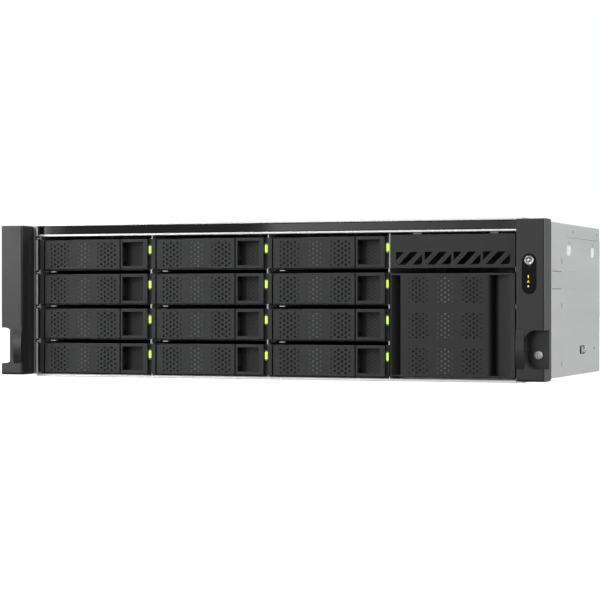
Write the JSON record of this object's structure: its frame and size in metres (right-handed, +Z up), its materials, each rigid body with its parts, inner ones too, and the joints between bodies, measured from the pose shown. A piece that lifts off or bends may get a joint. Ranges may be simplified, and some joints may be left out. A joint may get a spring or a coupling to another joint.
{
  "type": "network attached storage",
  "caption": "Rack-mount network storage server with hot-swap disk trays on swing levers, a vented bezel, a pull-off bay cover, rack ears, a sliding lid and plug-in power supplies.",
  "frame": {"origin": "middle of the underside of the whole object", "axes": "+Z up, +X to the right seen from the front, the tray fronts face -Y"},
  "size_m": [0.482, 0.321, 0.132],
  "materials": {
    "plated_steel": "zinc-plated sheet, satin",
    "ear_plastic": "fine moulded texture",
    "tray_plastic": "fine moulded texture",
    "cover_plastic": "fine moulded texture",
    "gloss_black": "polished",
    "button_metal": "domed, spun",
    "screw_steel": "nickel-plated",
    "knurled_steel": "nickel-plated, slotted",
    "circuit_board": "solder mask",
    "fin_aluminium": "extruded",
    "socket_metal": "tinned shells",
    "fan_plastic": "moulded",
    "guard_wire": "plated wire",
    "supply_case": "galvanised",
    "handle_black": "moulded"
  },
  "bodies": {
    "chassis": {"chassis_base": "plated_steel", "front_top_cover": "plated_steel", "rear_panel": "plated_steel", "side_screws": "screw_steel", "ear_brackets": "plated_steel", "left_ear_cover": "ear_plastic", "right_ear_cover": "ear_plastic", "status_window": "gloss_black", "front_panel_board": "circuit_board", "front_header": "plated_steel", "top_trim_strip": "gloss_black", "drive_cage": "plated_steel", "drive_backplane": "circuit_board", "vent_bezel": "cover_plastic", "small_drive_cage": "plated_steel", "small_drive_trays": "tray_plastic", "fan_frames": "fan_plastic", "fan_guards": "guard_wire", "motherboard": "circuit_board", "cpu_heatsink": "fin_aluminium", "io_connectors": "socket_metal", "supply_cage": "plated_steel"},
    "lid": {"rear_lid": "plated_steel"},
    "left_thumbscrew": {"left_lid_thumbscrew": "knurled_steel"},
    "right_thumbscrew": {"right_lid_thumbscrew": "knurled_steel"},
    "left_rack_screw": {"left_rack_screw": "screw_steel"},
    "right_rack_screw": {"right_rack_screw": "screw_steel"},
    "power_button": {"power_button": "button_metal"},
    "bay_cover": {"bay_cover": "cover_plastic"},
    "tray_c1_r1": {"drive_tray_c1_r1": "tray_plastic"},
    "lever_c1_r1": {"tray_lever_c1_r1": "tray_plastic"},
    "tray_c1_r2": {"drive_tray_c1_r2": "tray_plastic"},
    "lever_c1_r2": {"tray_lever_c1_r2": "tray_plastic"},
    "tray_c1_r3": {"drive_tray_c1_r3": "tray_plastic"},
    "lever_c1_r3": {"tray_lever_c1_r3": "tray_plastic"},
    "tray_c1_r4": {"drive_tray_c1_r4": "tray_plastic"},
    "lever_c1_r4": {"tray_lever_c1_r4": "tray_plastic"},
    "tray_c2_r1": {"drive_tray_c2_r1": "tray_plastic"},
    "lever_c2_r1": {"tray_lever_c2_r1": "tray_plastic"},
    "tray_c2_r2": {"drive_tray_c2_r2": "tray_plastic"},
    "lever_c2_r2": {"tray_lever_c2_r2": "tray_plastic"},
    "tray_c2_r3": {"drive_tray_c2_r3": "tray_plastic"},
    "lever_c2_r3": {"tray_lever_c2_r3": "tray_plastic"},
    "tray_c2_r4": {"drive_tray_c2_r4": "tray_plastic"},
    "lever_c2_r4": {"tray_lever_c2_r4": "tray_plastic"},
    "tray_c3_r1": {"drive_tray_c3_r1": "tray_plastic"},
    "lever_c3_r1": {"tray_lever_c3_r1": "tray_plastic"},
    "tray_c3_r2": {"drive_tray_c3_r2": "tray_plastic"},
    "lever_c3_r2": {"tray_lever_c3_r2": "tray_plastic"},
    "tray_c3_r3": {"drive_tray_c3_r3": "tray_plastic"},
    "lever_c3_r3": {"tray_lever_c3_r3": "tray_plastic"},
    "tray_c3_r4": {"drive_tray_c3_r4": "tray_plastic"},
    "lever_c3_r4": {"tray_lever_c3_r4": "tray_plastic"},
    "fan_rotor_1": {"fan_rotor_1": "fan_plastic"},
    "fan_rotor_2": {"fan_rotor_2": "fan_plastic"},
    "fan_rotor_3": {"fan_rotor_3": "fan_plastic"},
    "power_supply_1": {"power_supply_1": "supply_case"},
    "supply_handle_1": {"supply_handle_1": "handle_black"},
    "power_supply_2": {"power_supply_2": "supply_case"},
    "supply_handle_2": {"supply_handle_2": "handle_black"}
  },
  "joints": [
    {"name": "lid_slide", "type": "slide", "parent": "chassis", "child": "lid", "axis": [0, 1, 0], "range_m": [0, 0.012]},
    {"name": "left_thumbscrew_turn", "type": "hinge", "parent": "lid", "child": "left_thumbscrew", "pos_m": [-0.1285, 0.145, 0.1235], "axis": [0, 1, 0], "continuous": true},
    {"name": "left_rack_screw_turn", "type": "hinge", "parent": "chassis", "child": "left_rack_screw", "pos_m": [-0.23255, -0.1432, 0.0222], "axis": [0, 1, 0], "continuous": true},
    {"name": "right_thumbscrew_turn", "type": "hinge", "parent": "lid", "child": "right_thumbscrew", "pos_m": [0.1285, 0.145, 0.1235], "axis": [0, 1, 0], "continuous": true},
    {"name": "right_rack_screw_turn", "type": "hinge", "parent": "chassis", "child": "right_rack_screw", "pos_m": [0.23255, -0.1432, 0.0222], "axis": [0, 1, 0], "continuous": true},
    {"name": "power_button_press", "type": "slide", "parent": "chassis", "child": "power_button", "axis": [0, 1, 0], "range_m": [0, 0.0015], "stiffness_N_per_m": 600},
    {"name": "bay_cover_pull", "type": "slide", "parent": "chassis", "child": "bay_cover", "axis": [0, -1, 0], "range_m": [0, 0.06]},
    {"name": "tray_c1_r1_slide", "type": "slide", "parent": "chassis", "child": "tray_c1_r1", "axis": [0, -1, 0], "range_m": [0, 0.155]},
    {"name": "lever_c1_r1_swing", "type": "hinge", "parent": "tray_c1_r1", "child": "lever_c1_r1", "pos_m": [-0.2076, -0.137, 0.1054], "axis": [0, 0, -1], "range_deg": [0, 70]},
    {"name": "tray_c1_r2_slide", "type": "slide", "parent": "chassis", "child": "tray_c1_r2", "axis": [0, -1, 0], "range_m": [0, 0.155]},
    {"name": "lever_c1_r2_swing", "type": "hinge", "parent": "tray_c1_r2", "child": "lever_c1_r2", "pos_m": [-0.2076, -0.137, 0.0756], "axis": [0, 0, -1], "range_deg": [0, 70]},
    {"name": "tray_c1_r3_slide", "type": "slide", "parent": "chassis", "child": "tray_c1_r3", "axis": [0, -1, 0], "range_m": [0, 0.155]},
    {"name": "lever_c1_r3_swing", "type": "hinge", "parent": "tray_c1_r3", "child": "lever_c1_r3", "pos_m": [-0.2076, -0.137, 0.0458], "axis": [0, 0, -1], "range_deg": [0, 70]},
    {"name": "tray_c1_r4_slide", "type": "slide", "parent": "chassis", "child": "tray_c1_r4", "axis": [0, -1, 0], "range_m": [0, 0.155]},
    {"name": "lever_c1_r4_swing", "type": "hinge", "parent": "tray_c1_r4", "child": "lever_c1_r4", "pos_m": [-0.2076, -0.137, 0.016], "axis": [0, 0, -1], "range_deg": [0, 70]},
    {"name": "tray_c2_r1_slide", "type": "slide", "parent": "chassis", "child": "tray_c2_r1", "axis": [0, -1, 0], "range_m": [0, 0.155]},
    {"name": "lever_c2_r1_swing", "type": "hinge", "parent": "tray_c2_r1", "child": "lever_c2_r1", "pos_m": [-0.10085, -0.137, 0.1054], "axis": [0, 0, -1], "range_deg": [0, 70]},
    {"name": "tray_c2_r2_slide", "type": "slide", "parent": "chassis", "child": "tray_c2_r2", "axis": [0, -1, 0], "range_m": [0, 0.155]},
    {"name": "lever_c2_r2_swing", "type": "hinge", "parent": "tray_c2_r2", "child": "lever_c2_r2", "pos_m": [-0.10085, -0.137, 0.0756], "axis": [0, 0, -1], "range_deg": [0, 70]},
    {"name": "tray_c2_r3_slide", "type": "slide", "parent": "chassis", "child": "tray_c2_r3", "axis": [0, -1, 0], "range_m": [0, 0.155]},
    {"name": "lever_c2_r3_swing", "type": "hinge", "parent": "tray_c2_r3", "child": "lever_c2_r3", "pos_m": [-0.10085, -0.137, 0.0458], "axis": [0, 0, -1], "range_deg": [0, 70]},
    {"name": "tray_c2_r4_slide", "type": "slide", "parent": "chassis", "child": "tray_c2_r4", "axis": [0, -1, 0], "range_m": [0, 0.155]},
    {"name": "lever_c2_r4_swing", "type": "hinge", "parent": "tray_c2_r4", "child": "lever_c2_r4", "pos_m": [-0.10085, -0.137, 0.016], "axis": [0, 0, -1], "range_deg": [0, 70]},
    {"name": "tray_c3_r1_slide", "type": "slide", "parent": "chassis", "child": "tray_c3_r1", "axis": [0, -1, 0], "range_m": [0, 0.155]},
    {"name": "lever_c3_r1_swing", "type": "hinge", "parent": "tray_c3_r1", "child": "lever_c3_r1", "pos_m": [0.0059, -0.137, 0.1054], "axis": [0, 0, -1], "range_deg": [0, 70]},
    {"name": "tray_c3_r2_slide", "type": "slide", "parent": "chassis", "child": "tray_c3_r2", "axis": [0, -1, 0], "range_m": [0, 0.155]},
    {"name": "lever_c3_r2_swing", "type": "hinge", "parent": "tray_c3_r2", "child": "lever_c3_r2", "pos_m": [0.0059, -0.137, 0.0756], "axis": [0, 0, -1], "range_deg": [0, 70]},
    {"name": "tray_c3_r3_slide", "type": "slide", "parent": "chassis", "child": "tray_c3_r3", "axis": [0, -1, 0], "range_m": [0, 0.155]},
    {"name": "lever_c3_r3_swing", "type": "hinge", "parent": "tray_c3_r3", "child": "lever_c3_r3", "pos_m": [0.0059, -0.137, 0.0458], "axis": [0, 0, -1], "range_deg": [0, 70]},
    {"name": "tray_c3_r4_slide", "type": "slide", "parent": "chassis", "child": "tray_c3_r4", "axis": [0, -1, 0], "range_m": [0, 0.155]},
    {"name": "lever_c3_r4_swing", "type": "hinge", "parent": "tray_c3_r4", "child": "lever_c3_r4", "pos_m": [0.0059, -0.137, 0.016], "axis": [0, 0, -1], "range_deg": [0, 70]},
    {"name": "fan_1_spin", "type": "hinge", "parent": "chassis", "child": "fan_rotor_1", "pos_m": [-0.172, 0.1307, 0.0765], "axis": [0, 1, 0], "continuous": true},
    {"name": "fan_2_spin", "type": "hinge", "parent": "chassis", "child": "fan_rotor_2", "pos_m": [-0.085, 0.1307, 0.0765], "axis": [0, 1, 0], "continuous": true},
    {"name": "fan_3_spin", "type": "hinge", "parent": "chassis", "child": "fan_rotor_3", "pos_m": [0.002, 0.1307, 0.0765], "axis": [0, 1, 0], "continuous": true},
    {"name": "power_supply_1_slide", "type": "slide", "parent": "chassis", "child": "power_supply_1", "axis": [0, 1, 0], "range_m": [0, 0.14]},
    {"name": "supply_handle_1_fold", "type": "hinge", "parent": "power_supply_1", "child": "supply_handle_1", "pos_m": [0.189, 0.1481, 0.0366], "axis": [1, 0, 0], "range_deg": [0, 90]},
    {"name": "power_supply_2_slide", "type": "slide", "parent": "chassis", "child": "power_supply_2", "axis": [0, 1, 0], "range_m": [0, 0.14]},
    {"name": "supply_handle_2_fold", "type": "hinge", "parent": "power_supply_2", "child": "supply_handle_2", "pos_m": [0.189, 0.1481, 0.0784], "axis": [1, 0, 0], "range_deg": [0, 90]}
  ]
}
